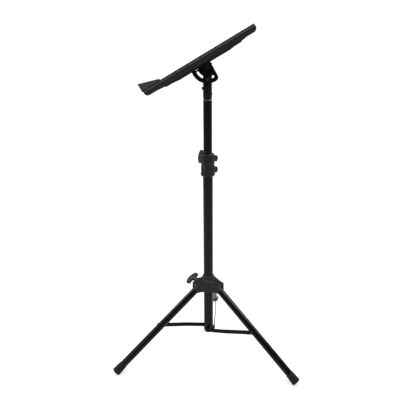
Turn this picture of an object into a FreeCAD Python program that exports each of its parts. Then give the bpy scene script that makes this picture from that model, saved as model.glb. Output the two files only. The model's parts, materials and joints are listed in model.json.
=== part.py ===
"""Height-adjustable tripod stand with a tilting flat desk.

Frame: +Z up, origin on the mast's axis at floor level. The desk's hinge runs along Y,
its low edge with the retaining lip is on the -X side and its high edge on the +X side.
"""
import FreeCAD, Part
import math
import os

# ---- driving dimensions, in millimetres and degrees ----
LOWER_TUBE_R = 15.0
UPPER_TUBE_R = 12.7
LEG_TUBE_R = 11.0
TUBE_WALL = 1.2
RUNNING_GAP = 0.08
LOOSE_GAP = 0.3

LOWER_TUBE_BOTTOM = 75.0
LOWER_TUBE_TOP = 640.0
UPPER_TUBE_BOTTOM = 300.0
UPPER_TUBE_TOP = 825.0
PIVOT_HEIGHT = 916.0

DESK_TILT = 29.3
DESK_WIDTH = 450.0
DESK_LOW_EDGE = -158.0
DESK_HIGH_EDGE = 137.0
DESK_TOP = 27.5
DESK_SKIRT_BOTTOM = 10.4
DESK_BOX_BOTTOM = 7.8
DESK_BOX_LOW = -108.0
DESK_BOX_HIGH = 94.0

FIRST_LEG_AZIMUTH = 205.5
LEG_AZIMUTHS = [FIRST_LEG_AZIMUTH + 120.0 * k for k in range(3)]
LEG_PIVOT_RADIUS = 38.0
LEG_PIVOT_HEIGHT = 236.5
LEG_SLOPE = 38.9
LEG_TOTAL_LENGTH = 362.2
STRUT_INNER_RADIUS = 3.0
STRUT_INNER_HEIGHT = 81.0
STRUT_OUTER_REACH = 169.4

CLAMP_EAR_AZIMUTH = 58.0
CLAMP_BOLT_AZIMUTH = CLAMP_EAR_AZIMUTH + 90.0
CLAMP_BOLT_OFFSET = 22.0
HEIGHT_BOLT_Z = 653.0
FIXED_BOLT_Z = 619.0
HUB_KNOB_AZIMUTH = FIRST_LEG_AZIMUTH - 60.0
HUB_BOLT_Z = 244.0

X_AXIS = FreeCAD.Vector(1, 0, 0)
Y_AXIS = FreeCAD.Vector(0, 1, 0)
Z_AXIS = FreeCAD.Vector(0, 0, 1)
ORIGIN = FreeCAD.Vector(0, 0, 0)


# ---- small helpers ----
def vec(x, y, z):
    return FreeCAD.Vector(x, y, z)


def rod(radius, length, base=ORIGIN, axis=Z_AXIS):
    return Part.makeCylinder(radius, length, base, axis)


def pipe(outer, inner, length, base=ORIGIN, axis=Z_AXIS):
    """Hollow cylinder."""
    return rod(outer, length, base, axis).cut(rod(inner, length, base, axis))


def block(x_range, y_range, z_range):
    size = [high - low for low, high in (x_range, y_range, z_range)]
    return Part.makeBox(*size, vec(x_range[0], y_range[0], z_range[0]))


def turned(profile, axis=Z_AXIS):
    """Solid of revolution about Z from (radius, height) points, stood along `axis`."""
    points = [vec(r, 0, z) for r, z in profile]
    face = Part.Face(Part.makePolygon(points + points[:1]))
    solid = face.revolve(ORIGIN, Z_AXIS, 360)
    solid.Placement = FreeCAD.Placement(ORIGIN, FreeCAD.Rotation(Z_AXIS, axis))
    return solid


def moved(shape, offset):
    copy = shape.copy()
    copy.translate(offset)
    return copy


def spun(shape, angle, axis=Z_AXIS, centre=ORIGIN):
    copy = shape.copy()
    copy.rotate(centre, axis, angle)
    return copy


def fused(first, *others):
    return first.fuse(list(others)).removeSplitter()


def arc(start, middle, end):
    return Part.Arc(start, middle, end).toShape()


def line(start, end):
    return Part.LineSegment(start, end).toShape()


def hexagon(across_flats, length):
    """Hexagonal prism along +Z."""
    corner = across_flats / math.sqrt(3)
    points = [vec(corner * math.cos(math.radians(60 * k)), corner * math.sin(math.radians(60 * k)), 0)
              for k in range(7)]
    return Part.Face(Part.makePolygon(points)).extrude(vec(0, 0, length))


def stood_along(shape, axis, base):
    """Take a shape built along +Z and stand it along `axis` at `base`."""
    copy = shape.copy()
    copy.Placement = FreeCAD.Placement(base, FreeCAD.Rotation(Z_AXIS, axis))
    return copy


def azimuth_vector(azimuth, radius=1.0, height=0.0):
    angle = math.radians(azimuth)
    return vec(radius * math.cos(angle), radius * math.sin(angle), height)


def save(name, *solids):
    shape = solids[0] if len(solids) == 1 else Part.makeCompound(list(solids))
    shape.exportStep(f"parts/{name}.step")


# ---- lower tube, its end plug and the three-tab strut bracket ----
TAB_THICKNESS = 2.0
TAB_OFFSET = LOWER_TUBE_R + LOOSE_GAP
TAB_WIDTH = 15.0
BRACKET_BOTTOM = LOWER_TUBE_BOTTOM - TAB_THICKNESS
STRUT_THICKNESS = 2.0
STRUT_WIDTH = 13.0
STRUT_INNER_FACE = TAB_OFFSET + TAB_THICKNESS + 0.15
STRUT_OUTER_FACE = LEG_TUBE_R + LOOSE_GAP
PIN_R = 2.5
BRACKET_SCREW_R = 2.5


def in_leg_plane(shape, azimuth):
    """Turn a shape whose X axis is radial and whose -Y side is the strut side to a leg's azimuth."""
    return spun(shape, azimuth)


def make_lower_tube():
    inner = LOWER_TUBE_R - TUBE_WALL
    return pipe(LOWER_TUBE_R, inner, LOWER_TUBE_TOP - LOWER_TUBE_BOTTOM, vec(0, 0, LOWER_TUBE_BOTTOM))


def make_end_plug():
    plug_height = 22.0
    plug = rod(LOWER_TUBE_R - TUBE_WALL, plug_height, vec(0, 0, LOWER_TUBE_BOTTOM))
    return plug.cut(rod(BRACKET_SCREW_R, 16.0, vec(0, 0, LOWER_TUBE_BOTTOM)))


def make_strut_bracket():
    """Disc under the tube with three tabs folded up beside it, one for each strut."""
    disc = rod(LOWER_TUBE_R, TAB_THICKNESS, vec(0, 0, BRACKET_BOTTOM))
    tab_top = STRUT_INNER_HEIGHT + 0.5 * TAB_WIDTH
    reach = (STRUT_INNER_RADIUS - 0.5 * TAB_WIDTH, STRUT_INNER_RADIUS + 0.5 * TAB_WIDTH)
    tabs = []
    for azimuth in LEG_AZIMUTHS:
        upright = block(reach, (-TAB_OFFSET - TAB_THICKNESS, -TAB_OFFSET), (BRACKET_BOTTOM, STRUT_INNER_HEIGHT))
        round_end = rod(0.5 * TAB_WIDTH, TAB_THICKNESS,
                        vec(STRUT_INNER_RADIUS, -TAB_OFFSET - TAB_THICKNESS, STRUT_INNER_HEIGHT), Y_AXIS)
        foot = block(reach, (-TAB_OFFSET - TAB_THICKNESS, -8.0), (BRACKET_BOTTOM, LOWER_TUBE_BOTTOM))
        tab = fused(upright, round_end, foot)
        tab = tab.common(block((-40, 40), (-40, 0), (BRACKET_BOTTOM, tab_top)))
        tabs.append(in_leg_plane(tab, azimuth))
    bracket = fused(disc, *tabs)
    for azimuth in LEG_AZIMUTHS:
        hole = rod(PIN_R, 8.0, vec(STRUT_INNER_RADIUS, -TAB_OFFSET - 5.0, STRUT_INNER_HEIGHT), Y_AXIS)
        bracket = bracket.cut(in_leg_plane(hole, azimuth))
    return bracket.cut(rod(BRACKET_SCREW_R + 0.3, 10.0, vec(0, 0, BRACKET_BOTTOM - 5.0)))


def make_strut_bracket_pins():
    """Rivets through the bracket tabs, which the inner ends of the struts turn on."""
    head_r = 4.5
    pins = []
    for azimuth in LEG_AZIMUTHS:
        outer_face = STRUT_INNER_FACE + STRUT_THICKNESS + 0.15
        shank = rod(PIN_R - 0.02, outer_face - TAB_OFFSET,
                    vec(STRUT_INNER_RADIUS, -outer_face, STRUT_INNER_HEIGHT),
                    Y_AXIS)
        dome = turned([(0, 0), (head_r, 0), (head_r - 0.8, 1.1), (1.5, 1.7), (0, 1.8)], vec(0, -1, 0))
        dome.translate(vec(STRUT_INNER_RADIUS, -outer_face, STRUT_INNER_HEIGHT))
        pins.append(in_leg_plane(fused(shank, dome), azimuth))
    return pins


def make_bracket_screw():
    """Screw that holds the strut bracket to the plug from below."""
    head = turned([(0, 0), (4.0, 0), (4.8, 0.8), (4.8, 2.6), (0, 2.6)])
    head.translate(vec(0, 0, BRACKET_BOTTOM - 2.6))
    socket = moved(hexagon(4.0, 1.6), vec(0, 0, BRACKET_BOTTOM - 2.6))
    shank = rod(BRACKET_SCREW_R - 0.02, 15.0, vec(0, 0, BRACKET_BOTTOM))
    return fused(head, shank).cut(socket)


# ---- clamp collar at the top of the lower tube ----
COLLAR_BOTTOM = 602.0
COLLAR_TOP = 669.5
COLLAR_WAIST = 638.0
COLLAR_LOWER_R = 20.5
COLLAR_UPPER_R = 19.9
CLAMP_SLIT = 2.6
CLAMP_BOSS_R = 9.5
CLAMP_BOSS_REACH = 16.0
CLAMP_BOLT_R = 3.0
NUT_FLATS = 10.0
NUT_THICKNESS = 5.0
BOLT_DIRECTION = azimuth_vector(CLAMP_BOLT_AZIMUTH)


def clamp_bolt_point(height, reach):
    """Point on a clamp bolt's line, `reach` out from the slit towards the knob's side."""
    return azimuth_vector(CLAMP_EAR_AZIMUTH, CLAMP_BOLT_OFFSET, height) + BOLT_DIRECTION * reach


def make_clamp_collar():
    body = turned([
        (0, COLLAR_BOTTOM), (18.0, COLLAR_BOTTOM), (21.6, COLLAR_BOTTOM + 3.5), (21.6, COLLAR_BOTTOM + 9.0),
        (COLLAR_LOWER_R, COLLAR_BOTTOM + 11.0), (COLLAR_LOWER_R, COLLAR_WAIST - 3.0),
        (COLLAR_LOWER_R - 1.2, COLLAR_WAIST - 1.2), (COLLAR_LOWER_R - 1.2, COLLAR_WAIST + 1.2),
        (COLLAR_UPPER_R + 0.6, COLLAR_WAIST + 3.0), (COLLAR_UPPER_R, COLLAR_TOP - 8.0),
        (COLLAR_UPPER_R, COLLAR_TOP - 2.0), (COLLAR_UPPER_R - 2.0, COLLAR_TOP), (0, COLLAR_TOP)])
    ear_height = 2 * CLAMP_BOSS_R
    for height in (HEIGHT_BOLT_Z, FIXED_BOLT_Z):
        boss_start = clamp_bolt_point(height, -CLAMP_BOSS_REACH)
        boss = rod(CLAMP_BOSS_R, 2 * CLAMP_BOSS_REACH, boss_start, BOLT_DIRECTION)
        web_height = (height - 0.5 * ear_height, height + 0.5 * ear_height)
        web = block((12.0, CLAMP_BOLT_OFFSET), (-11.0, 11.0), web_height)
        body = fused(body, boss, spun(web, CLAMP_EAR_AZIMUTH))
    body = body.cut(rod(LOWER_TUBE_R + 0.02, LOWER_TUBE_TOP - COLLAR_BOTTOM, vec(0, 0, COLLAR_BOTTOM)))
    body = body.cut(rod(UPPER_TUBE_R + RUNNING_GAP, COLLAR_TOP - COLLAR_BOTTOM, vec(0, 0, COLLAR_BOTTOM)))
    slit = block((10.0, 45.0), (-0.5 * CLAMP_SLIT, 0.5 * CLAMP_SLIT), (COLLAR_BOTTOM, COLLAR_TOP))
    body = body.cut(spun(slit, CLAMP_EAR_AZIMUTH))
    for height in (HEIGHT_BOLT_Z, FIXED_BOLT_Z):
        hole = rod(CLAMP_BOLT_R + RUNNING_GAP, 60.0, clamp_bolt_point(height, -30.0), BOLT_DIRECTION)
        pocket = stood_along(hexagon(NUT_FLATS + 0.1, NUT_THICKNESS + 1.0), BOLT_DIRECTION,
                             clamp_bolt_point(height, -CLAMP_BOSS_REACH))
        body = body.cut(hole).cut(pocket)
    return body


def make_clamp_nuts():
    nuts = []
    for height in (HEIGHT_BOLT_Z, FIXED_BOLT_Z):
        nut = hexagon(NUT_FLATS, NUT_THICKNESS).cut(rod(CLAMP_BOLT_R + 0.04, NUT_THICKNESS))
        base = clamp_bolt_point(height, -CLAMP_BOSS_REACH + 1.0)
        nuts.append(stood_along(nut, BOLT_DIRECTION, base))
    return nuts


def make_clamp_fixed_bolt():
    shank = rod(CLAMP_BOLT_R, 2 * CLAMP_BOSS_REACH + 1.0,
                clamp_bolt_point(FIXED_BOLT_Z, -CLAMP_BOSS_REACH - 1.0),
                BOLT_DIRECTION)
    head_seat = clamp_bolt_point(FIXED_BOLT_Z, CLAMP_BOSS_REACH)
    head = stood_along(hexagon(NUT_FLATS, 4.0), BOLT_DIRECTION, head_seat)
    return fused(shank, head)


# ---- fan-winged knobs: one shape for the height, hub and tilt knobs ----
KNOB_STEM_R = 8.0
KNOB_WING_DEPTH = 21.0
KNOB_WING_HALF_THICKNESS = 4.6
KNOB_FLUTE_R = 1.3
HUB_KNOB_HALF_SPAN = 26.5
HEIGHT_KNOB_HALF_SPAN = 21.0
TILT_KNOB_HALF_SPAN = 17.0
HUB_KNOB_STEM = 17.0
SHORT_KNOB_STEM = 10.0


def make_wing_knob(half_span, stem_length, stud_r, stud_length):
    """Knob pointing along +X from the origin, with two flat wings along Y and a fluted, bowed outer edge."""
    wing_end = stem_length + KNOB_WING_DEPTH
    stem = turned([(0, 0), (KNOB_STEM_R, 0), (KNOB_STEM_R, 2.5), (KNOB_STEM_R - 1.0, 3.5),
                   (KNOB_STEM_R - 1.2, wing_end - 5.0), (0, wing_end - 5.0)], X_AXIS)
    tip = vec(wing_end - 6.5, half_span, 0)
    heel = vec(stem_length + 1.0, half_span - 2.5, 0)
    root = vec(stem_length + 4.0, 0, 0)
    crown = vec(wing_end, 0, 0)
    left_tip = vec(tip.x, -tip.y, 0)
    left_heel = vec(heel.x, -heel.y, 0)
    outline = Part.Wire([arc(left_tip, crown, tip), line(tip, heel), arc(heel, root, left_heel),
                         line(left_heel, left_tip)])
    thickness = 2 * KNOB_WING_HALF_THICKNESS
    wings = Part.Face(outline).extrude(vec(0, 0, thickness)).translated(vec(0, 0, -KNOB_WING_HALF_THICKNESS))
    wings = wings.makeFillet(1.8, wings.Edges)
    flute_count = 7
    bow_radius = (half_span ** 2 + 6.5 ** 2) / 13.0
    for k in range(flute_count):
        y = half_span * 0.86 * (2 * k / (flute_count - 1) - 1)
        x = wing_end - bow_radius + math.sqrt(bow_radius ** 2 - y ** 2)
        flute = rod(KNOB_FLUTE_R, 4 * thickness, vec(x + 0.5, y, -2 * thickness))
        wings = wings.cut(flute)
    knob = fused(stem, wings)
    return knob.cut(rod(stud_r, stud_length, ORIGIN, X_AXIS))


def placed_knob(shape, base, azimuth, roll):
    """Roll a knob-frame shape about its own axis, point it at an azimuth and move it to `base`."""
    return moved(spun(spun(shape, roll, X_AXIS), azimuth), base)


# ---- upper tube with its bush, and the neck that carries the desk ----
NECK_BOTTOM = 829.7
NECK_TOP = PIVOT_HEIGHT + 9.0
NECK_WALL = 1.6
SPIGOT_R = UPPER_TUBE_R - TUBE_WALL
SPIGOT_BOTTOM = 782.0
SPIGOT_TOP = 866.0
NECK_SCREW_Z = 856.0
NECK_RIVET_Z = 841.5
TUBE_RIVET_Z = 806.0
TILT_BOLT_RADIUS = 32.0
PIVOT_BOLT_R = 4.0
TILT_BOLT_R = 3.0


def make_guide_bush():
    """Plastic ring that guides the upper tube's lower end inside the lower tube."""
    outer = LOWER_TUBE_R - TUBE_WALL - RUNNING_GAP
    ring = pipe(outer, UPPER_TUBE_R + RUNNING_GAP, 24.0, vec(0, 0, UPPER_TUBE_BOTTOM + 2.0))
    skirt = pipe(outer, UPPER_TUBE_R - 1.5, 2.0, vec(0, 0, UPPER_TUBE_BOTTOM - 2.0 - RUNNING_GAP))
    wall = pipe(outer, UPPER_TUBE_R + RUNNING_GAP, 4.2, vec(0, 0, UPPER_TUBE_BOTTOM - RUNNING_GAP - 0.1))
    return fused(ring, skirt, wall)


def make_upper_tube():
    tube = pipe(UPPER_TUBE_R, SPIGOT_R, UPPER_TUBE_TOP - UPPER_TUBE_BOTTOM, vec(0, 0, UPPER_TUBE_BOTTOM))
    return tube.cut(rod(2.0, 40.0, vec(0, -20.0, TUBE_RIVET_Z), Y_AXIS))


def make_neck_spigot():
    """Hollow plug that joins the neck to the upper tube, bare for a few millimetres between them."""
    spigot = pipe(SPIGOT_R - 0.02, SPIGOT_R - 3.0, SPIGOT_TOP - SPIGOT_BOTTOM, vec(0, 0, SPIGOT_BOTTOM))
    spigot = spigot.cut(rod(2.5, 20.0, vec(-20.0, 0, NECK_SCREW_Z), X_AXIS))
    spigot = spigot.cut(rod(2.0, 40.0, vec(0, -20.0, TUBE_RIVET_Z), Y_AXIS))
    return spigot.cut(rod(2.0, 20.0, azimuth_vector(-15.0, 2.0, NECK_RIVET_Z), azimuth_vector(-15.0)))


def make_neck_tube():
    neck = pipe(UPPER_TUBE_R, UPPER_TUBE_R - NECK_WALL, NECK_TOP - NECK_BOTTOM, vec(0, 0, NECK_BOTTOM))
    lower_bore = rod(SPIGOT_R, SPIGOT_TOP - NECK_BOTTOM, vec(0, 0, NECK_BOTTOM))
    cap_depth = 2.0
    cap = rod(UPPER_TUBE_R, cap_depth, vec(0, 0, NECK_TOP - cap_depth))
    neck = fused(neck.cut(lower_bore), cap)
    neck = neck.cut(rod(PIVOT_BOLT_R + 0.02, 40.0, vec(0, -20.0, PIVOT_HEIGHT), Y_AXIS))
    neck = neck.cut(rod(TILT_BOLT_R + 0.02, 40.0, vec(0, -20.0, PIVOT_HEIGHT - TILT_BOLT_RADIUS), Y_AXIS))
    neck = neck.cut(rod(2.5, 20.0, vec(-20.0, 0, NECK_SCREW_Z), X_AXIS))
    return neck.cut(rod(2.0, 20.0, azimuth_vector(-15.0, 2.0, NECK_RIVET_Z), azimuth_vector(-15.0)))


def make_neck_screw():
    head = turned([(0, 0), (4.2, 0), (4.2, 2.2), (3.0, 3.5), (0, 3.5)], vec(-1, 0, 0))
    head = moved(head, vec(-UPPER_TUBE_R - 0.05, 0, NECK_SCREW_Z))
    socket = stood_along(hexagon(2.5, 2.0), X_AXIS, vec(-UPPER_TUBE_R - 3.6, 0, NECK_SCREW_Z))
    shank = rod(2.48, 6.0, vec(-UPPER_TUBE_R - 0.05, 0, NECK_SCREW_Z), X_AXIS)
    return fused(head, shank).cut(socket)


def make_neck_rivets():
    """Rivets that fix the spigot in the neck and in the upper tube."""
    direction = azimuth_vector(-15.0)
    side = rod(1.98, UPPER_TUBE_R - 8.0, direction * 8.0 + vec(0, 0, NECK_RIVET_Z), direction)
    side_head = moved(turned([(0, 0), (3.2, 0), (2.4, 0.9), (0, 1.1)], direction),
                      direction * UPPER_TUBE_R + vec(0, 0, NECK_RIVET_Z))
    flush = rod(1.98, UPPER_TUBE_R - 8.1, vec(0, 8.0, TUBE_RIVET_Z), Y_AXIS)
    return [fused(side, side_head), flush]


# ---- tilt bracket and the bolts through it, in the desk's own frame about the pivot ----
BRACKET_SHEET = 2.5
BRACKET_INNER_Y = UPPER_TUBE_R + 0.6
BRACKET_OUTER_Y = BRACKET_INNER_Y + BRACKET_SHEET
BRACKET_ARC_R = 46.4
BRACKET_HIGH_SIDE = 13.0
BRACKET_LOW_SIDE = -27.0
BRACKET_LOBE_TOP = 12.0
BRACKET_NOTCH_BOTTOM = 5.5
BRACKET_NOTCH_EDGE = -36.5
BRACKET_CORNER_R = 11.0
TRAY_PLATE_BOTTOM = 21.5
TRAY_PLATE_TOP = 24.2
SLOT_HALF_WIDTH = 3.6
SLOT_START = -90.0
SLOT_END = -176.0


def at_desk(shape):
    """Tilt a shape built level about the pivot, and lift it to the pivot's height."""
    return moved(spun(shape, DESK_TILT, vec(0, -1, 0)), vec(0, 0, PIVOT_HEIGHT))


def polar(radius, degrees):
    return vec(radius * math.cos(math.radians(degrees)), 0, radius * math.sin(math.radians(degrees)))


def bracket_cheek_face():
    """Side plate: a quarter disc about the pivot that rises to the tray on its high side."""
    corner_x = BRACKET_HIGH_SIDE - BRACKET_CORNER_R
    corner_z = -math.sqrt((BRACKET_ARC_R - BRACKET_CORNER_R) ** 2 - corner_x ** 2)
    side_end = vec(BRACKET_HIGH_SIDE, 0, corner_z)
    arc_start_angle = math.degrees(math.atan2(corner_z, corner_x))
    arc_start = polar(BRACKET_ARC_R, arc_start_angle)
    middle_angle = math.radians(0.5 * arc_start_angle)
    corner_mid = vec(corner_x + BRACKET_CORNER_R * math.cos(middle_angle), 0,
                     corner_z + BRACKET_CORNER_R * math.sin(middle_angle))
    arc_end_angle = -180.0 - math.degrees(math.asin(BRACKET_LOBE_TOP / BRACKET_ARC_R))
    arc_middle = polar(BRACKET_ARC_R, 0.5 * (arc_start_angle + arc_end_angle))
    arc_end = polar(BRACKET_ARC_R, arc_end_angle)
    top_high = vec(BRACKET_HIGH_SIDE, 0, TRAY_PLATE_BOTTOM)
    top_low = vec(BRACKET_LOW_SIDE, 0, TRAY_PLATE_BOTTOM)
    lobe_end = vec(BRACKET_NOTCH_EDGE, 0, BRACKET_LOBE_TOP)
    notch_low = vec(BRACKET_NOTCH_EDGE, 0, BRACKET_NOTCH_BOTTOM)
    notch = vec(BRACKET_LOW_SIDE, 0, BRACKET_NOTCH_BOTTOM)
    return Part.Face(Part.Wire([
        line(top_low, top_high), line(top_high, side_end), arc(side_end, corner_mid, arc_start),
        arc(arc_start, arc_middle, arc_end), line(arc_end, lobe_end), line(lobe_end, notch_low),
        line(notch_low, notch), line(notch, top_low)]))


def slot_cutter():
    """Curved slot about the pivot that the tilt bolt runs in."""
    outer_r = TILT_BOLT_RADIUS + SLOT_HALF_WIDTH
    inner_r = TILT_BOLT_RADIUS - SLOT_HALF_WIDTH
    middle = 0.5 * (SLOT_START + SLOT_END)
    start_cap = polar(TILT_BOLT_RADIUS, SLOT_START + math.degrees(SLOT_HALF_WIDTH / TILT_BOLT_RADIUS))
    end_cap = polar(TILT_BOLT_RADIUS, SLOT_END - math.degrees(SLOT_HALF_WIDTH / TILT_BOLT_RADIUS))
    wire = Part.Wire([
        arc(polar(outer_r, SLOT_START), polar(outer_r, middle), polar(outer_r, SLOT_END)),
        arc(polar(outer_r, SLOT_END), end_cap, polar(inner_r, SLOT_END)),
        arc(polar(inner_r, SLOT_END), polar(inner_r, middle), polar(inner_r, SLOT_START)),
        arc(polar(inner_r, SLOT_START), start_cap, polar(outer_r, SLOT_START))])
    return Part.Face(wire).extrude(vec(0, 80.0, 0)).translated(vec(0, -40.0, 0))


def bracket_screw_points():
    return [(x, y) for x in (BRACKET_LOW_SIDE + 8.0, BRACKET_HIGH_SIDE - 8.0) for y in (-8.0, 8.0)]


def make_tilt_bracket():
    cheek = bracket_cheek_face().extrude(vec(0, BRACKET_SHEET, 0))
    near = cheek.translated(vec(0, -BRACKET_OUTER_Y, 0))
    far = cheek.translated(vec(0, BRACKET_INNER_Y, 0))
    web = block((BRACKET_LOW_SIDE, BRACKET_HIGH_SIDE), (-BRACKET_OUTER_Y, BRACKET_OUTER_Y),
                (TRAY_PLATE_BOTTOM - BRACKET_SHEET, TRAY_PLATE_BOTTOM))
    bracket = fused(near, far, web)
    bracket = bracket.cut(rod(PIVOT_BOLT_R + RUNNING_GAP, 60.0, vec(0, -30.0, 0), Y_AXIS))
    bracket = bracket.cut(slot_cutter())
    for x, y in bracket_screw_points():
        bracket = bracket.cut(rod(2.0, 10.0, vec(x, y, TRAY_PLATE_BOTTOM - 5.0)))
    return at_desk(bracket)


def make_bracket_screws():
    """Countersunk screws from the tray's plate down into the bracket's web."""
    profile = [(0, -BRACKET_SHEET), (1.98, -BRACKET_SHEET), (1.98, 0.9), (4.0, 2.6), (0, 2.6)]
    screw = turned(profile)
    return [at_desk(moved(screw, vec(x, y, TRAY_PLATE_BOTTOM))) for x, y in bracket_screw_points()]


WASHER_THICKNESS = 1.5
WASHER_FACE = BRACKET_OUTER_Y + 0.1 + WASHER_THICKNESS


def washer_pair(outer_r, bore_r, height):
    ring = pipe(outer_r, bore_r, WASHER_THICKNESS, ORIGIN, Y_AXIS)
    return [moved(ring, vec(0, y, height)) for y in (-WASHER_FACE, WASHER_FACE - WASHER_THICKNESS)]


def make_tilt_washers():
    return (washer_pair(8.5, PIVOT_BOLT_R + 0.02, PIVOT_HEIGHT)
            + washer_pair(8.0, TILT_BOLT_R + 0.02, PIVOT_HEIGHT - TILT_BOLT_RADIUS))


def make_pivot_bolt():
    length = 2 * WASHER_FACE + 9.0
    shank = rod(PIVOT_BOLT_R, length, vec(0, -WASHER_FACE, PIVOT_HEIGHT), Y_AXIS)
    head = stood_along(hexagon(13.0, 5.3), vec(0, -1, 0), vec(0, -WASHER_FACE, PIVOT_HEIGHT))
    return fused(shank, head)


def make_pivot_nut():
    nut = hexagon(13.0, 8.0).cut(rod(PIVOT_BOLT_R + 0.02, 8.0))
    return stood_along(nut, Y_AXIS, vec(0, WASHER_FACE, PIVOT_HEIGHT))


def make_tilt_bolt():
    """Round-headed bolt through the slots; the tilt knob screws onto its far end."""
    height = PIVOT_HEIGHT - TILT_BOLT_RADIUS
    shank = rod(TILT_BOLT_R, 2 * WASHER_FACE + 14.0, vec(0, -WASHER_FACE, height), Y_AXIS)
    dome = turned([(0, 0), (7.2, 0), (6.4, 1.6), (4.2, 2.9), (0, 3.5)], vec(0, -1, 0))
    return fused(shank, moved(dome, vec(0, -WASHER_FACE, height)))


# ---- desk: moulded tray, top panel and retaining lip, in the desk's own frame ----
TRAY_WALL = 3.0
TRAY_CORNER_R = 10.0
PANEL_INSET = 0.9
HALF_WIDTH = 0.5 * DESK_WIDTH
LIP_SHEET = 2.0
LIP_HEIGHT = 17.5
LIP_FOOT = 15.0
RIB_THICKNESS = 2.4
RIB_DEPTH = 8.0


def tray_profile(inset, corner_r):
    """Side outline of the tray's skirt, square above and rounded below, shrunk by `inset`."""
    low = DESK_LOW_EDGE + inset
    high = DESK_HIGH_EDGE - inset
    bottom = DESK_SKIRT_BOTTOM if inset == 0 else DESK_SKIRT_BOTTOM - 5.0
    top = TRAY_PLATE_TOP if inset == 0 else TRAY_PLATE_BOTTOM
    bend = corner_r * (1 - math.sqrt(0.5))
    return Part.Face(Part.Wire([
        line(vec(low, 0, top), vec(high, 0, top)), line(vec(high, 0, top), vec(high, 0, bottom + corner_r)),
        arc(vec(high, 0, bottom + corner_r), vec(high - bend, 0, bottom + bend),
            vec(high - corner_r, 0, bottom)),
        line(vec(high - corner_r, 0, bottom), vec(low + corner_r, 0, bottom)),
        arc(vec(low + corner_r, 0, bottom), vec(low + bend, 0, bottom + bend), vec(low, 0, bottom + corner_r)),
        line(vec(low, 0, bottom + corner_r), vec(low, 0, top))]))


def box_profile(inset):
    """Side outline of the deeper box under the middle of the tray, with splayed ends."""
    splay = 5.0
    low = DESK_BOX_LOW + inset
    high = DESK_BOX_HIGH - inset
    bottom = DESK_BOX_BOTTOM if inset == 0 else DESK_BOX_BOTTOM - 5.0
    points = [vec(low, 0, TRAY_PLATE_BOTTOM), vec(high, 0, TRAY_PLATE_BOTTOM), vec(high, 0, DESK_SKIRT_BOTTOM),
              vec(high - splay, 0, bottom), vec(low + splay, 0, bottom), vec(low, 0, DESK_SKIRT_BOTTOM)]
    return Part.Face(Part.makePolygon(points + points[:1]))


def across_desk(face, inset):
    """Sweep a side outline across the desk's width, `inset` in from each side."""
    width = DESK_WIDTH - 2 * inset
    return face.extrude(vec(0, width, 0)).translated(vec(0, -0.5 * width, 0))


def make_tray_frame():
    """Shallow moulded tray, open below: a plate with a rounded skirt, a deeper box wall inside it and ribs."""
    box_inset = 1.2
    skirt = across_desk(tray_profile(0.0, TRAY_CORNER_R), 0.0)
    skirt = skirt.cut(across_desk(tray_profile(TRAY_WALL, TRAY_CORNER_R - TRAY_WALL), TRAY_WALL))
    box = across_desk(box_profile(0.0), box_inset)
    box = box.cut(across_desk(box_profile(TRAY_WALL), box_inset + TRAY_WALL))
    tray = skirt.fuse(box)
    rib_z = (TRAY_PLATE_BOTTOM - RIB_DEPTH, TRAY_PLATE_BOTTOM + 0.5)
    side_reach = (DESK_LOW_EDGE + 1.5, DESK_HIGH_EDGE - 1.5)
    for y in (-145.0, -75.0, 75.0, 145.0):
        rib = block(side_reach, (y - 0.5 * RIB_THICKNESS, y + 0.5 * RIB_THICKNESS), rib_z)
        tray = tray.fuse(rib)
    cross_reach = (-HALF_WIDTH + 1.5, HALF_WIDTH - 1.5)
    for x in (BRACKET_LOW_SIDE - 33.0, BRACKET_HIGH_SIDE + 33.0):
        rib = block((x - 0.5 * RIB_THICKNESS, x + 0.5 * RIB_THICKNESS), cross_reach, rib_z)
        tray = tray.fuse(rib)
    tray = tray.removeSplitter()
    for x, y in bracket_screw_points():
        hole = turned([(0, -1), (2.0, -1), (2.0, 0.9), (4.02, 2.6), (4.02, 4), (0, 4)])
        tray = tray.cut(moved(hole, vec(x, y, TRAY_PLATE_BOTTOM)))
    rims = [edge for edge in tray.Edges
            if edge.BoundBox.ZMin > TRAY_PLATE_TOP - 1e-3 and edge.Length > 100.0]
    return at_desk(tray.makeChamfer(0.9, rims))


def make_top_panel():
    panel = block((DESK_LOW_EDGE + LIP_FOOT + PANEL_INSET, DESK_HIGH_EDGE - PANEL_INSET),
                  (-HALF_WIDTH + PANEL_INSET, HALF_WIDTH - PANEL_INSET), (TRAY_PLATE_TOP, DESK_TOP))
    uprights = [edge for edge in panel.Edges if edge.BoundBox.ZLength > 1.0]
    return at_desk(panel.makeFillet(2.0, uprights))


def lip_screw_points():
    return [(DESK_LOW_EDGE + 8.5, y) for y in (-195.0, -65.0, 65.0, 195.0)]


def make_retaining_lip():
    """Angle strip along the desk's low edge: a foot level with the panel and an upright at its outer side."""
    outer = DESK_LOW_EDGE - LIP_SHEET - 0.2
    width = (-HALF_WIDTH + PANEL_INSET, HALF_WIDTH - PANEL_INSET)
    upright = block((outer, outer + LIP_SHEET), width, (TRAY_PLATE_TOP, DESK_TOP + LIP_HEIGHT))
    foot = block((outer, DESK_LOW_EDGE + LIP_FOOT), width, (TRAY_PLATE_TOP, DESK_TOP))
    lip = fused(upright, foot)
    for x, y in lip_screw_points():
        lip = lip.cut(rod(1.52, 10.0, vec(x, y, TRAY_PLATE_TOP - 4.0)))
    return at_desk(lip)


def make_lip_screws():
    """Low round-headed screws through the lip's foot."""
    foot = DESK_TOP - TRAY_PLATE_TOP
    screw = turned([(0, 0), (1.5, 0), (1.5, foot), (3.2, foot), (3.2, foot + 0.7),
                    (2.4, foot + 1.4), (0, foot + 1.6)])
    return [at_desk(moved(screw, vec(x, y, TRAY_PLATE_TOP))) for x, y in lip_screw_points()]


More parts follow.
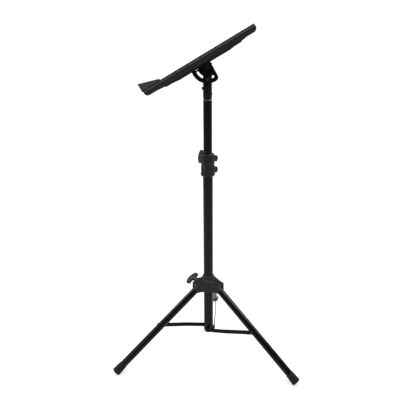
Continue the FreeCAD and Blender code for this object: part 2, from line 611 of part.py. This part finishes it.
# ---- tripod hub ----
HUB_BOTTOM = 226.0
HUB_COLLAR_TOP = 275.0
HUB_COLLAR_R = 18.0
HUB_CONE_TOP = 262.0
HUB_EAR_TOP = 254.5
HUB_EAR_REACH = 50.0
HUB_EAR_SHOULDER = 36.0
HUB_EAR_HALF_WIDTH = 14.2
HUB_WAIST_RADIUS = 26.5
HUB_BUSH_R = LOWER_TUBE_R + 1.2
HINGE_HEAD_R = 4.2
LEG_SLOT_HALF_WIDTH = LEG_TUBE_R + 0.4
LEG_SLOT_ROOF = LEG_PIVOT_HEIGHT + 12.0
HUB_STUD_R = 3.0


def hub_outline():
    """Three-armed plan: straight ear sides joined by hollow arcs."""
    edges = []
    for azimuth in LEG_AZIMUTHS:
        def point(x, y, turn=0.0):
            angle = math.radians(azimuth + turn)
            return vec(x * math.cos(angle) - y * math.sin(angle), x * math.sin(angle) + y * math.cos(angle), 0)
        half = HUB_EAR_HALF_WIDTH
        edges.append(line(point(HUB_EAR_SHOULDER, -half), point(HUB_EAR_REACH, -half)))
        edges.append(line(point(HUB_EAR_REACH, -half), point(HUB_EAR_REACH, half)))
        edges.append(line(point(HUB_EAR_REACH, half), point(HUB_EAR_SHOULDER, half)))
        edges.append(arc(point(HUB_EAR_SHOULDER, half), point(HUB_WAIST_RADIUS, 0, 60.0),
                         point(HUB_EAR_SHOULDER, -half, 120.0)))
    return Part.Face(Part.Wire(edges))


def make_hub_body():
    plan = hub_outline().extrude(vec(0, 0, HUB_COLLAR_TOP - HUB_BOTTOM)).translated(vec(0, 0, HUB_BOTTOM))
    roof = turned([(0, HUB_BOTTOM), (70.0, HUB_BOTTOM), (70.0, HUB_EAR_TOP - 4.0), (HUB_EAR_REACH, HUB_EAR_TOP),
                   (HUB_COLLAR_R + 4.0, HUB_CONE_TOP), (HUB_COLLAR_R + 1.0, HUB_CONE_TOP + 4.0),
                   (HUB_COLLAR_R, HUB_COLLAR_TOP - 1.0), (HUB_COLLAR_R - 1.0, HUB_COLLAR_TOP),
                   (0, HUB_COLLAR_TOP)])
    body = plan.common(roof)
    stud_axis = azimuth_vector(HUB_KNOB_AZIMUTH)
    stud_base = vec(0, 0, HUB_BOLT_Z)
    body = body.fuse(rod(9.0, 38.0, stud_base, stud_axis)).removeSplitter()
    body = body.cut(rod(HUB_BUSH_R + 0.02, HUB_COLLAR_TOP - HUB_BOTTOM, vec(0, 0, HUB_BOTTOM)))
    body = body.cut(rod(HUB_STUD_R + 0.04, 60.0, stud_base, stud_axis))
    for azimuth in LEG_AZIMUTHS:
        slot = block((22.5, 80.0), (-LEG_SLOT_HALF_WIDTH, LEG_SLOT_HALF_WIDTH),
                     (HUB_BOTTOM - 5.0, LEG_SLOT_ROOF))
        pin_hole = rod(PIN_R, 60.0, vec(LEG_PIVOT_RADIUS, -30.0, LEG_PIVOT_HEIGHT), Y_AXIS)
        body = body.cut(spun(slot, azimuth)).cut(spun(pin_hole, azimuth))
        for side in (-1, 1):
            seat = rod(HINGE_HEAD_R + 0.3, 12.0,
                       vec(LEG_PIVOT_RADIUS, side * HUB_EAR_HALF_WIDTH, LEG_PIVOT_HEIGHT),
                       vec(0, side, 0))
            body = body.cut(spun(seat, azimuth))
    return body


def make_hub_bush():
    """Plastic liner that the hub slides on; the hub knob's stud passes through it."""
    bush = pipe(HUB_BUSH_R, LOWER_TUBE_R + RUNNING_GAP, HUB_COLLAR_TOP - HUB_BOTTOM, vec(0, 0, HUB_BOTTOM))
    return bush.cut(rod(HUB_STUD_R + 0.04, 30.0, vec(0, 0, HUB_BOLT_Z), azimuth_vector(HUB_KNOB_AZIMUTH)))


def make_leg_hinge_pins():
    pins = []
    for azimuth in LEG_AZIMUTHS:
        reach = HUB_EAR_HALF_WIDTH + 0.05
        shank = rod(PIN_R - 0.02, 2 * reach, vec(LEG_PIVOT_RADIUS, -reach, LEG_PIVOT_HEIGHT), Y_AXIS)
        dome = [(0, 0), (HINGE_HEAD_R, 0), (HINGE_HEAD_R - 0.8, 1.2), (0, 1.7)]
        near = moved(turned(dome, vec(0, -1, 0)), vec(LEG_PIVOT_RADIUS, -reach, LEG_PIVOT_HEIGHT))
        far = moved(turned(dome, Y_AXIS), vec(LEG_PIVOT_RADIUS, reach, LEG_PIVOT_HEIGHT))
        pins.append(spun(fused(shank, near, far), azimuth))
    return pins


# ---- legs, built along +X from the hinge and then laid down to their slope ----
KNUCKLE_REACH = 12.0
PLUG_END = 40.0
FOOT_START = 330.0
FOOT_END = LEG_TOTAL_LENGTH
LEG_TUBE_END = FOOT_END - 6.0


def at_leg(shape, azimuth):
    """Lay a leg-frame shape down to the leg's slope, move it to its hinge and turn it to its azimuth."""
    laid = spun(shape, LEG_SLOPE, Y_AXIS)
    return spun(moved(laid, vec(LEG_PIVOT_RADIUS, 0, LEG_PIVOT_HEIGHT)), azimuth)


def make_leg_knuckle():
    """Round-ended plastic plug in the tube's top, bored for the hinge pin."""
    barrel = rod(LEG_TUBE_R, LEG_TUBE_R + KNUCKLE_REACH, vec(-LEG_TUBE_R, 0, 0), X_AXIS)
    round_end = rod(LEG_TUBE_R, 4 * LEG_TUBE_R, vec(0, -2 * LEG_TUBE_R, 0), Y_AXIS)
    keep = fused(round_end, block((0, KNUCKLE_REACH), (-20, 20), (-20, 20)))
    plug = rod(LEG_TUBE_R - TUBE_WALL, PLUG_END - KNUCKLE_REACH, vec(KNUCKLE_REACH, 0, 0), X_AXIS)
    knuckle = fused(barrel.common(keep), plug)
    return knuckle.cut(rod(PIN_R + 0.06, 40.0, vec(0, -20.0, 0), Y_AXIS))


def make_leg_tube():
    length = LEG_TUBE_END - KNUCKLE_REACH
    return pipe(LEG_TUBE_R, LEG_TUBE_R - TUBE_WALL, length, vec(KNUCKLE_REACH, 0, 0), X_AXIS)


def make_foot_cap():
    """Rubber cap that flares to a thick rounded end."""
    rim = 4.0
    end_r = 13.7
    rim_steps = [(end_r - rim + rim * math.cos(math.radians(a)),
                  FOOT_END - rim + rim * math.sin(math.radians(a)))
                 for a in (0, 18, 36, 54, 72, 90)]
    profile = ([(0, FOOT_START), (LEG_TUBE_R + 0.6, FOOT_START), (LEG_TUBE_R + 1.0, FOOT_START + 1.0),
                (end_r - 0.8, FOOT_END - 9.0)] + rim_steps + [(0, FOOT_END)])
    cap = turned(profile, X_AXIS)
    return cap.cut(rod(LEG_TUBE_R, LEG_TUBE_END - FOOT_START, vec(FOOT_START, 0, 0), X_AXIS))


# ---- struts ----
JOGGLE_START = 70.0
JOGGLE_END = 150.0


def strut_ends():
    """Inner and outer rivet points as (radius, height) in the leg's plane."""
    slope = math.radians(LEG_SLOPE)
    inner = (STRUT_INNER_RADIUS, STRUT_INNER_HEIGHT)
    outer = (LEG_PIVOT_RADIUS + STRUT_OUTER_REACH * math.cos(slope),
             LEG_PIVOT_HEIGHT - STRUT_OUTER_REACH * math.sin(slope))
    return inner, outer


def strut_length_and_slope():
    (inner_r, inner_z), (outer_r, outer_z) = strut_ends()
    run = outer_r - inner_r
    rise = outer_z - inner_z
    return math.hypot(run, rise), math.degrees(math.atan2(rise, run))


def at_strut(shape, azimuth):
    """Raise a strut-frame shape to its slope, move it to its inner rivet and turn it to its azimuth."""
    slope = strut_length_and_slope()[1]
    raised = spun(shape, -slope, Y_AXIS)
    return spun(moved(raised, vec(STRUT_INNER_RADIUS, 0, STRUT_INNER_HEIGHT)), azimuth)


def make_strut():
    """Flat bar with rounded ends and a joggle that brings its outer end in beside the leg."""
    length = strut_length_and_slope()[0]
    half = 0.5 * STRUT_WIDTH
    inner_y = -STRUT_INNER_FACE
    outer_y = -STRUT_OUTER_FACE
    plan = [(-half, inner_y), (JOGGLE_START, inner_y), (JOGGLE_END, outer_y), (length + half, outer_y)]
    far_side = [(x, y - STRUT_THICKNESS) for x, y in reversed(plan)]
    points = [vec(x, y, -half) for x, y in plan + far_side]
    bar = Part.Face(Part.makePolygon(points + points[:1])).extrude(vec(0, 0, STRUT_WIDTH))
    side = fused(rod(half, 60.0, vec(0, -50.0, 0), Y_AXIS), rod(half, 60.0, vec(length, -50.0, 0), Y_AXIS),
                 block((0, length), (-50.0, 10.0), (-half, half)))
    bar = bar.common(side)
    bar = bar.cut(rod(PIN_R + 0.06, 60.0, vec(0, -50.0, 0), Y_AXIS))
    return bar.cut(rod(PIN_R, 60.0, vec(length, -50.0, 0), Y_AXIS))


def make_strut_rivet():
    """Domed rivet in the strut's outer end, flush on the leg's side."""
    length = strut_length_and_slope()[0]
    shank = rod(PIN_R - 0.02, STRUT_THICKNESS + 0.1,
                vec(length, -STRUT_OUTER_FACE - STRUT_THICKNESS - 0.1, 0), Y_AXIS)
    dome = turned([(0, 0), (4.5, 0), (3.7, 1.1), (1.5, 1.7), (0, 1.8)], vec(0, -1, 0))
    return fused(shank, moved(dome, vec(length, -STRUT_OUTER_FACE - STRUT_THICKNESS - 0.1, 0)))


def main():
    os.makedirs("parts", exist_ok=True)

    save("lower_tube", make_lower_tube())
    save("lower_tube_plug", make_end_plug())
    save("strut_bracket", make_strut_bracket())
    save("strut_bracket_pins", *make_strut_bracket_pins())
    save("strut_bracket_screw", make_bracket_screw())
    save("clamp_collar", make_clamp_collar())
    save("clamp_nuts", *make_clamp_nuts())
    save("clamp_fixed_bolt", make_clamp_fixed_bolt())

    height_base = clamp_bolt_point(HEIGHT_BOLT_Z, CLAMP_BOSS_REACH + 0.4)
    height_roll = -75.0
    height_knob = make_wing_knob(HEIGHT_KNOB_HALF_SPAN, SHORT_KNOB_STEM, CLAMP_BOLT_R, 18.0)
    save("height_knob", placed_knob(height_knob, height_base, CLAMP_BOLT_AZIMUTH, height_roll))
    height_stud = rod(CLAMP_BOLT_R - 0.02, 2 * CLAMP_BOSS_REACH + 18.0,
                      vec(-2 * CLAMP_BOSS_REACH - 1.0, 0, 0), X_AXIS)
    save("height_knob_bolt", placed_knob(height_stud, height_base, CLAMP_BOLT_AZIMUTH, height_roll))

    save("guide_bush", make_guide_bush())
    save("upper_tube", make_upper_tube())
    save("neck_spigot", make_neck_spigot())
    save("neck_tube", make_neck_tube())
    save("neck_screw", make_neck_screw())
    save("neck_rivets", *make_neck_rivets())
    save("tilt_pivot_bolt", make_pivot_bolt())
    save("tilt_pivot_nut", make_pivot_nut())
    save("tilt_clamp_bolt", make_tilt_bolt())
    save("tilt_washers", *make_tilt_washers())
    tilt_base = vec(0, WASHER_FACE + 0.1, PIVOT_HEIGHT - TILT_BOLT_RADIUS)
    tilt_knob = make_wing_knob(TILT_KNOB_HALF_SPAN, SHORT_KNOB_STEM, TILT_BOLT_R + 0.04, 16.0)
    save("tilt_knob", placed_knob(tilt_knob, tilt_base, 90.0, 90.0))

    save("tilt_bracket", make_tilt_bracket())
    save("bracket_screws", *make_bracket_screws())
    save("tray_frame", make_tray_frame())
    save("top_panel", make_top_panel())
    save("retaining_lip", make_retaining_lip())
    save("lip_screws", *make_lip_screws())

    save("hub_body", make_hub_body())
    save("hub_bush", make_hub_bush())
    save("leg_hinge_pins", *make_leg_hinge_pins())
    hub_knob_start = 38.4
    hub_knob_roll = -13.0
    hub_knob = make_wing_knob(HUB_KNOB_HALF_SPAN, HUB_KNOB_STEM, HUB_STUD_R, 18.0)
    hub_knob_base = azimuth_vector(HUB_KNOB_AZIMUTH, hub_knob_start, HUB_BOLT_Z)
    save("hub_knob", placed_knob(hub_knob, hub_knob_base, HUB_KNOB_AZIMUTH, hub_knob_roll))
    stud_inner = LOWER_TUBE_R + 0.3
    hub_stud = rod(HUB_STUD_R - 0.02, hub_knob_start - stud_inner + 18.0,
                   vec(stud_inner - hub_knob_start, 0, 0), X_AXIS)
    save("hub_knob_bolt", placed_knob(hub_stud, hub_knob_base, HUB_KNOB_AZIMUTH, hub_knob_roll))

    for number, azimuth in enumerate(LEG_AZIMUTHS, start=1):
        save(f"leg_tube_{number}", at_leg(make_leg_tube(), azimuth))
        save(f"leg_knuckle_{number}", at_leg(make_leg_knuckle(), azimuth))
        save(f"foot_cap_{number}", at_leg(make_foot_cap(), azimuth))
        save(f"strut_{number}", at_strut(make_strut(), azimuth))
        save(f"strut_rivet_{number}", at_strut(make_strut_rivet(), azimuth))


main()
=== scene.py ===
"""Looks for the folding tripod stand with a tilting desk. Units are metres, in the CAD model's frame."""
import json
import math

import bpy
from mathutils import Matrix, Vector

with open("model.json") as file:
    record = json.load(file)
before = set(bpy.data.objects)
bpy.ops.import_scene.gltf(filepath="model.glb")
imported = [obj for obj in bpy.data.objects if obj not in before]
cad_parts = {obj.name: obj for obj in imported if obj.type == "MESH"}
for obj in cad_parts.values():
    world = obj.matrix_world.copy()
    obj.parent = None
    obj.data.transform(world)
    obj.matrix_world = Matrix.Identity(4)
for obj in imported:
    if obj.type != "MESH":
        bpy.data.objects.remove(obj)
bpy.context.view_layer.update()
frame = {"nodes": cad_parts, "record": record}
nodes = frame["nodes"]

MM = 0.001
PATCHINESS = 0.18
WEAR_RADIUS = 0.7 * MM
BAND_BLUR = 0.2 * MM


# ---- materials ----
def new_material(name):
    material = bpy.data.materials.new(name)
    material.use_nodes = True
    tree = material.node_tree
    shader = next(node for node in tree.nodes if node.type == "BSDF_PRINCIPLED")
    return material, tree, shader


def noise(tree, coordinates, scale, detail=3.0):
    texture = tree.nodes.new("ShaderNodeTexNoise")
    texture.inputs["Scale"].default_value = scale
    texture.inputs["Detail"].default_value = detail
    tree.links.new(coordinates, texture.inputs["Vector"])
    return texture.outputs["Fac"]


def remap(tree, value, low, high, start=0.3, end=0.7):
    """Stretch values between `start` and `end` to run from `low` to `high`, clamped."""
    node = tree.nodes.new("ShaderNodeMapRange")
    node.inputs["From Min"].default_value = start
    node.inputs["From Max"].default_value = end
    node.inputs["To Min"].default_value = low
    node.inputs["To Max"].default_value = high
    tree.links.new(value, node.inputs["Value"])
    return node.outputs["Result"]


def multiply(tree, first, second):
    node = tree.nodes.new("ShaderNodeMath")
    node.operation = "MULTIPLY"
    tree.links.new(first, node.inputs[0])
    tree.links.new(second, node.inputs[1])
    return node.outputs["Value"]


def blend_colours(tree, factor, first, second):
    node = tree.nodes.new("ShaderNodeMix")
    node.data_type = "RGBA"
    tree.links.new(factor, node.inputs["Factor"])
    for socket, colour in ((node.inputs[6], first), (node.inputs[7], second)):
        if isinstance(colour, tuple):
            socket.default_value = (*colour, 1.0)
        else:
            tree.links.new(colour, socket)
    return node.outputs[2]


def edge_mask(tree, radius):
    """1 on convex edges, 0 on flat ground."""
    bevel = tree.nodes.new("ShaderNodeBevel")
    bevel.samples = 4
    bevel.inputs["Radius"].default_value = radius
    geometry = tree.nodes.new("ShaderNodeNewGeometry")
    dot = tree.nodes.new("ShaderNodeVectorMath")
    dot.operation = "DOT_PRODUCT"
    tree.links.new(bevel.outputs["Normal"], dot.inputs[0])
    tree.links.new(geometry.outputs["Normal"], dot.inputs[1])
    return remap(tree, dot.outputs["Value"], 1.0, 0.0, 0.80, 0.98)


def beyond(tree, coordinates, direction, reach):
    """1 where a point lies further than `reach` along `direction`, 0 elsewhere."""
    dot = tree.nodes.new("ShaderNodeVectorMath")
    dot.operation = "DOT_PRODUCT"
    tree.links.new(coordinates, dot.inputs[0])
    dot.inputs[1].default_value = direction
    return remap(tree, dot.outputs["Value"], 0.0, 1.0, reach - BAND_BLUR, reach + BAND_BLUR)


def finish(name, colour, roughness, grain, depth, specular=0.5, spread=0.06, worn=None, wear=0.35, band=None):
    """Paint, plastic or rubber: patchy colour and gloss, a fine grain, rubbed edges and an optional lighter stripe
    of painted highlight.
    """
    material, tree, shader = new_material(name)
    coordinates = tree.nodes.new("ShaderNodeTexCoord").outputs["Object"]
    patches = remap(tree, noise(tree, coordinates, 14.0), 0.0, 1.0)
    dark = tuple(channel * (1.0 - PATCHINESS) for channel in colour)
    light = tuple(channel * (1.0 + PATCHINESS) for channel in colour)
    tone = blend_colours(tree, patches, dark, light)
    if worn:
        rubbed = remap(tree, noise(tree, coordinates, 160.0, 4.0), 0.0, wear, 0.42, 0.66)
        tone = blend_colours(tree, multiply(tree, edge_mask(tree, WEAR_RADIUS), rubbed), tone, worn)
    # Painted highlight: a lighter stripe past a set reach along a direction, standing in for light caught there.
    if band:
        direction, reach, painted_highlight_colour = band
        tone = blend_colours(tree, beyond(tree, coordinates, direction, reach), tone, painted_highlight_colour)
    tree.links.new(tone, shader.inputs["Base Color"])
    gloss = remap(tree, noise(tree, coordinates, 60.0, 4.0), roughness - spread, roughness + spread)
    tree.links.new(gloss, shader.inputs["Roughness"])
    bump = tree.nodes.new("ShaderNodeBump")
    bump.inputs["Strength"].default_value = 1.0
    bump.inputs["Distance"].default_value = depth * MM
    tree.links.new(noise(tree, coordinates, 1.0 / (grain * MM), 2.0), bump.inputs["Height"])
    tree.links.new(bump.outputs["Normal"], shader.inputs["Normal"])
    shader.inputs["Specular IOR Level"].default_value = specular
    return material


DESK_TILT = math.radians(29.3)
PIVOT_HEIGHT = 0.916
DESK_NORMAL = (-math.sin(DESK_TILT), 0.0, math.cos(DESK_TILT))
# Painted highlight: the tray's rim chamfer gets a lighter stripe for the light line the top lamp draws along it.
RIM_START = 22.2 * MM
TRAY_RIM_HIGHLIGHT = (DESK_NORMAL, PIVOT_HEIGHT * math.cos(DESK_TILT) + RIM_START, (0.075, 0.075, 0.082))
# Painted glint: a pale ring at the upper tube's top shows its bare cut end together with the glint seen there.
TUBE_BARE_END_GLINT = ((0.0, 0.0, 1.0), 823.4 * MM, (0.42, 0.42, 0.40))
TUBE_PAINT = (0.0022, 0.0020, 0.0020)
WORN_PAINT = (0.10, 0.10, 0.105)
WORN_PLASTIC = (0.05, 0.05, 0.052)
WORN_RUBBER = (0.03, 0.03, 0.035)

# Each finish: colour, roughness, grain size and bump depth in mm, then the specular level and any extras.
FINISHES = {
    "tube_black": (TUBE_PAINT, 0.20, 1.6, 0.004, dict(specular=0.22, spread=0.04)),
    # Tube paint with the painted glint at its bare top end.
    "tube_bare_end_glint": (TUBE_PAINT, 0.20, 1.6, 0.004, dict(specular=0.22, spread=0.04, band=TUBE_BARE_END_GLINT)),
    "sheet_black": ((0.004, 0.004, 0.0042), 0.38, 1.2, 0.010, dict(specular=0.12, worn=WORN_PAINT)),
    "steel_black": ((0.006, 0.006, 0.0065), 0.34, 0.8, 0.006,
                    dict(specular=0.3, spread=0.08, worn=WORN_PAINT, wear=0.5)),
    "moulding_black": ((0.010, 0.010, 0.011), 0.42, 0.6, 0.014, dict(specular=0.3, worn=WORN_PLASTIC)),
    "knob_grey": ((0.026, 0.028, 0.029), 0.50, 0.6, 0.02, dict(specular=0.3, worn=WORN_PLASTIC)),
    # The tray's finish carries the painted highlight along its rim.
    "tray_black": ((0.012, 0.012, 0.016), 0.46, 0.7, 0.014,
                   dict(specular=0.35, worn=WORN_PLASTIC, band=TRAY_RIM_HIGHLIGHT)),
    "panel_black": ((0.011, 0.011, 0.014), 0.42, 0.7, 0.015, dict(specular=0.25, worn=WORN_PLASTIC)),
    "lip_black": ((0.016, 0.015, 0.012), 0.40, 0.9, 0.012, dict(specular=0.2, worn=WORN_PAINT)),
    "bush_nylon": ((0.030, 0.030, 0.030), 0.50, 0.8, 0.01, dict(specular=0.3)),
    "foot_rubber": ((0.006, 0.006, 0.009), 0.62, 0.5, 0.03, dict(specular=0.2, worn=WORN_RUBBER)),
}
MATERIALS = {name: finish(name, *numbers, **extra) for name, (*numbers, extra) in FINISHES.items()}

slot_of = {entry["node"]: entry["material_slot"] for entry in frame["record"]["subparts"]}
# The upper tube takes the finish with the painted glint at its top end.
slot_of["upper_tube"] = "tube_bare_end_glint"


# ---- CAD nodes: finishes and softened edges ----
# Bevel widths in mm.
SOFT_EDGES = {
    "hub_body": 1.4, "clamp_collar": 1.0, "top_panel": 0.5, "retaining_lip": 0.4, "tilt_bracket": 0.5,
    "foot_cap_1": 0.5, "foot_cap_2": 0.5, "foot_cap_3": 0.5, "strut_1": 0.35, "strut_2": 0.35, "strut_3": 0.35,
    "strut_bracket": 0.35, "neck_tube": 0.7, "neck_screw": 0.3, "tilt_pivot_bolt": 0.4, "tilt_pivot_nut": 0.4,
    "clamp_nuts": 0.4, "clamp_fixed_bolt": 0.4, "tilt_washers": 0.25, "leg_hinge_pins": 0.3,
}
WELD_DISTANCE = 0.01 * MM
SHARP_ANGLE = math.radians(35)


def soften(obj, width):
    """Welds the split edges of the imported mesh and rounds the sharp ones."""
    weld = obj.modifiers.new("weld", "WELD")
    weld.merge_threshold = WELD_DISTANCE
    bevel = obj.modifiers.new("bevel", "BEVEL")
    bevel.width = width * MM
    bevel.segments = 3
    bevel.limit_method = "ANGLE"
    bevel.angle_limit = SHARP_ANGLE
    bevel.use_clamp_overlap = True
    bevel.harden_normals = True


for name, obj in nodes.items():
    obj.data.materials.clear()
    obj.data.materials.append(MATERIALS[slot_of[name]])
    if name in SOFT_EDGES:
        soften(obj, SOFT_EDGES[name])


# ---- floor, lights and camera ----
FLOOR_REACH = 30.0
FLOOR_GLOW_NEAR = 0.56
FLOOR_GLOW_FAR = 0.99
FLOOR_BOUNCE = 0.25
WORLD_REFLECTED = 0.16
WORLD_SEEN = 1.05


def add_area_light(name, place, target, size, power, shape_y=None):
    data = bpy.data.lights.new(name, "AREA")
    data.energy = power
    data.size = size
    if shape_y:
        data.shape = "RECTANGLE"
        data.size_y = shape_y
    light = bpy.data.objects.new(name, data)
    bpy.context.scene.collection.objects.link(light)
    light.location = place
    light.rotation_euler = (Vector(target) - Vector(place)).to_track_quat("-Z", "Y").to_euler()
    return light


def make_floor():
    """Pale floor that glows a little more away from the stand, so that it meets the background without an edge."""
    mesh = bpy.data.meshes.new("floor")
    corners = [(x * FLOOR_REACH, y * FLOOR_REACH, 0) for x, y in ((-1, -1), (1, -1), (1, 1), (-1, 1))]
    mesh.from_pydata(corners, [], [(0, 1, 2, 3)])
    floor = bpy.data.objects.new("floor", mesh)
    bpy.context.scene.collection.objects.link(floor)
    material, tree, shader = new_material("floor")
    shader.inputs["Base Color"].default_value = (0.50, 0.50, 0.50, 1.0)
    shader.inputs["Roughness"].default_value = 0.9
    shader.inputs["Specular IOR Level"].default_value = 0.0
    shader.inputs["Emission Color"].default_value = (1.0, 1.0, 1.0, 1.0)
    rays = tree.nodes.new("ShaderNodeLightPath")
    distance = tree.nodes.new("ShaderNodeVectorMath")
    distance.operation = "LENGTH"
    tree.links.new(tree.nodes.new("ShaderNodeTexCoord").outputs["Object"], distance.inputs[0])
    seen = remap(tree, distance.outputs["Value"], FLOOR_GLOW_NEAR, FLOOR_GLOW_FAR, 0.55, 2.0)
    bounced = remap(tree, rays.outputs["Is Camera Ray"], FLOOR_BOUNCE, 1.0, 0.0, 1.0)
    tree.links.new(multiply(tree, seen, bounced), shader.inputs["Emission Strength"])
    mesh.materials.append(material)


def make_world():
    """White behind the stand, and dimmer in its reflections so that black paint stays black."""
    world = bpy.data.worlds.new("studio")
    world.use_nodes = True
    tree = world.node_tree
    background = tree.nodes["Background"]
    background.inputs["Color"].default_value = (1.0, 1.0, 1.0, 1.0)
    rays = tree.nodes.new("ShaderNodeLightPath")
    strength = remap(tree, rays.outputs["Is Camera Ray"], WORLD_REFLECTED, WORLD_SEEN, 0.0, 1.0)
    tree.links.new(strength, background.inputs["Strength"])
    bpy.context.scene.world = world


def make_camera():
    """Camera at the height and angle the object is seen from, with a slight turn and roll."""
    pitch = math.radians(17.36)
    roll = math.radians(-0.49)
    yaw = math.radians(-1.03)
    forward = Vector((math.sin(yaw) * math.cos(pitch), math.cos(yaw) * math.cos(pitch), -math.sin(pitch)))
    level = Vector((math.cos(yaw), -math.sin(yaw), 0.0))
    upright = level.cross(forward)
    right = level * math.cos(roll) + upright * math.sin(roll)
    up = upright * math.cos(roll) - level * math.sin(roll)
    data = bpy.data.cameras.new("camera")
    data.lens = 38.82
    data.sensor_width = 36.0
    camera = bpy.data.objects.new("camera", data)
    bpy.context.scene.collection.objects.link(camera)
    rotation = Matrix((right, up, -forward)).transposed().to_4x4()
    camera.matrix_world = Matrix.Translation((0.006, -1.27335, 0.9165)) @ rotation
    bpy.context.scene.camera = camera


make_camera()
make_floor()
make_world()
add_area_light("top", (0.3, -0.6, 2.8), (0.0, 0.0, 0.6), 2.4, 60.0)
add_area_light("front_left", (-2.4, -1.4, 1.9), (0.0, 0.0, 0.6), 1.0, 14.0)
add_area_light("strip_left", (-1.5, 0.3, 2.2), (0.0, 0.0, 0.3), 0.30, 34.0, 1.6)
add_area_light("strip_right", (1.5, 0.2, 2.2), (0.0, 0.0, 0.3), 0.30, 34.0, 1.6)
bpy.context.scene.view_settings.view_transform = "Standard"
